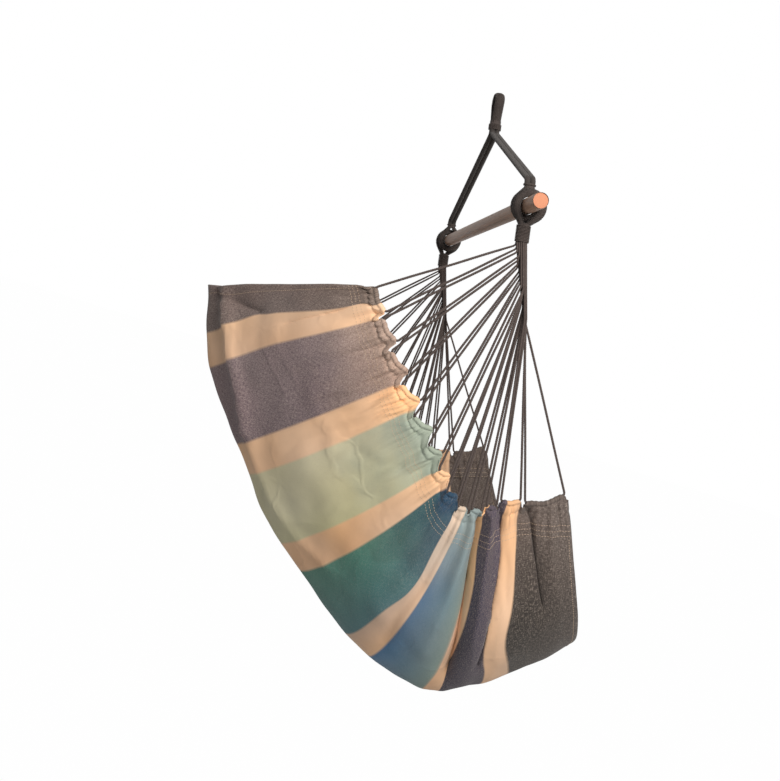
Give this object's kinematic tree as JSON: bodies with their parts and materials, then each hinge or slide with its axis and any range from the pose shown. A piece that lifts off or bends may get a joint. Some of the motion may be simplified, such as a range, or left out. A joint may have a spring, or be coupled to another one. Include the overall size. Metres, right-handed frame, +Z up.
{
  "type": "hammock chair",
  "caption": "Hanging fabric chair with a round wooden spreader bar, twin rope hanger with a top loop, fanned cord clews at each end and a striped cloth seat.",
  "frame": {"origin": "the point inside the hanging loop where the hook bears", "axes": "+X along the spreader bar to the sitter's left, -Y the way the sitter faces, +Z up"},
  "size_m": [1, 0.9959, 1.3581],
  "materials": {
    "bar_wood": "satin",
    "rope": "matte",
    "cord": "matte",
    "seat_cloth": "matte"
  },
  "bodies": {
    "hanger": {"hanging_eye": "rope", "eye_binding": "rope", "right_front_rope": "rope", "right_rear_rope": "rope", "left_front_rope": "rope", "left_rear_rope": "rope", "right_rope_seizing": "rope", "left_rope_seizing": "rope", "right_suspension_eye": "rope", "left_suspension_eye": "rope"},
    "bar": {"spreader_bar": "bar_wood"},
    "seat": {"fabric_seat": "seat_cloth", "right_clew_eye": "rope", "left_clew_eye": "rope", "right_neck_whipping": "cord", "left_neck_whipping": "cord", "right_cord_01": "cord", "right_cord_02": "cord", "right_cord_03": "cord", "right_cord_04": "cord", "right_cord_05": "cord", "right_cord_06": "cord", "right_cord_07": "cord", "right_cord_08": "cord", "right_cord_09": "cord", "right_cord_10": "cord", "right_cord_11": "cord", "right_cord_12": "cord", "right_cord_13": "cord", "left_cord_01": "cord", "left_cord_02": "cord", "left_cord_03": "cord", "left_cord_04": "cord", "left_cord_05": "cord", "left_cord_06": "cord", "left_cord_07": "cord", "left_cord_08": "cord", "left_cord_09": "cord", "left_cord_10": "cord", "left_cord_11": "cord", "left_cord_12": "cord", "left_cord_13": "cord"}
  },
  "joints": [
    {"name": "bar_turn", "type": "hinge", "parent": "hanger", "child": "bar", "pos_m": [0, -0.05036, -0.28559], "axis": [1, 0, 0], "continuous": true},
    {"name": "seat_swing", "type": "hinge", "parent": "hanger", "child": "seat", "pos_m": [0, -0.05036, -0.28559], "axis": [1, 0, 0], "range_deg": [-25, 25]}
  ]
}
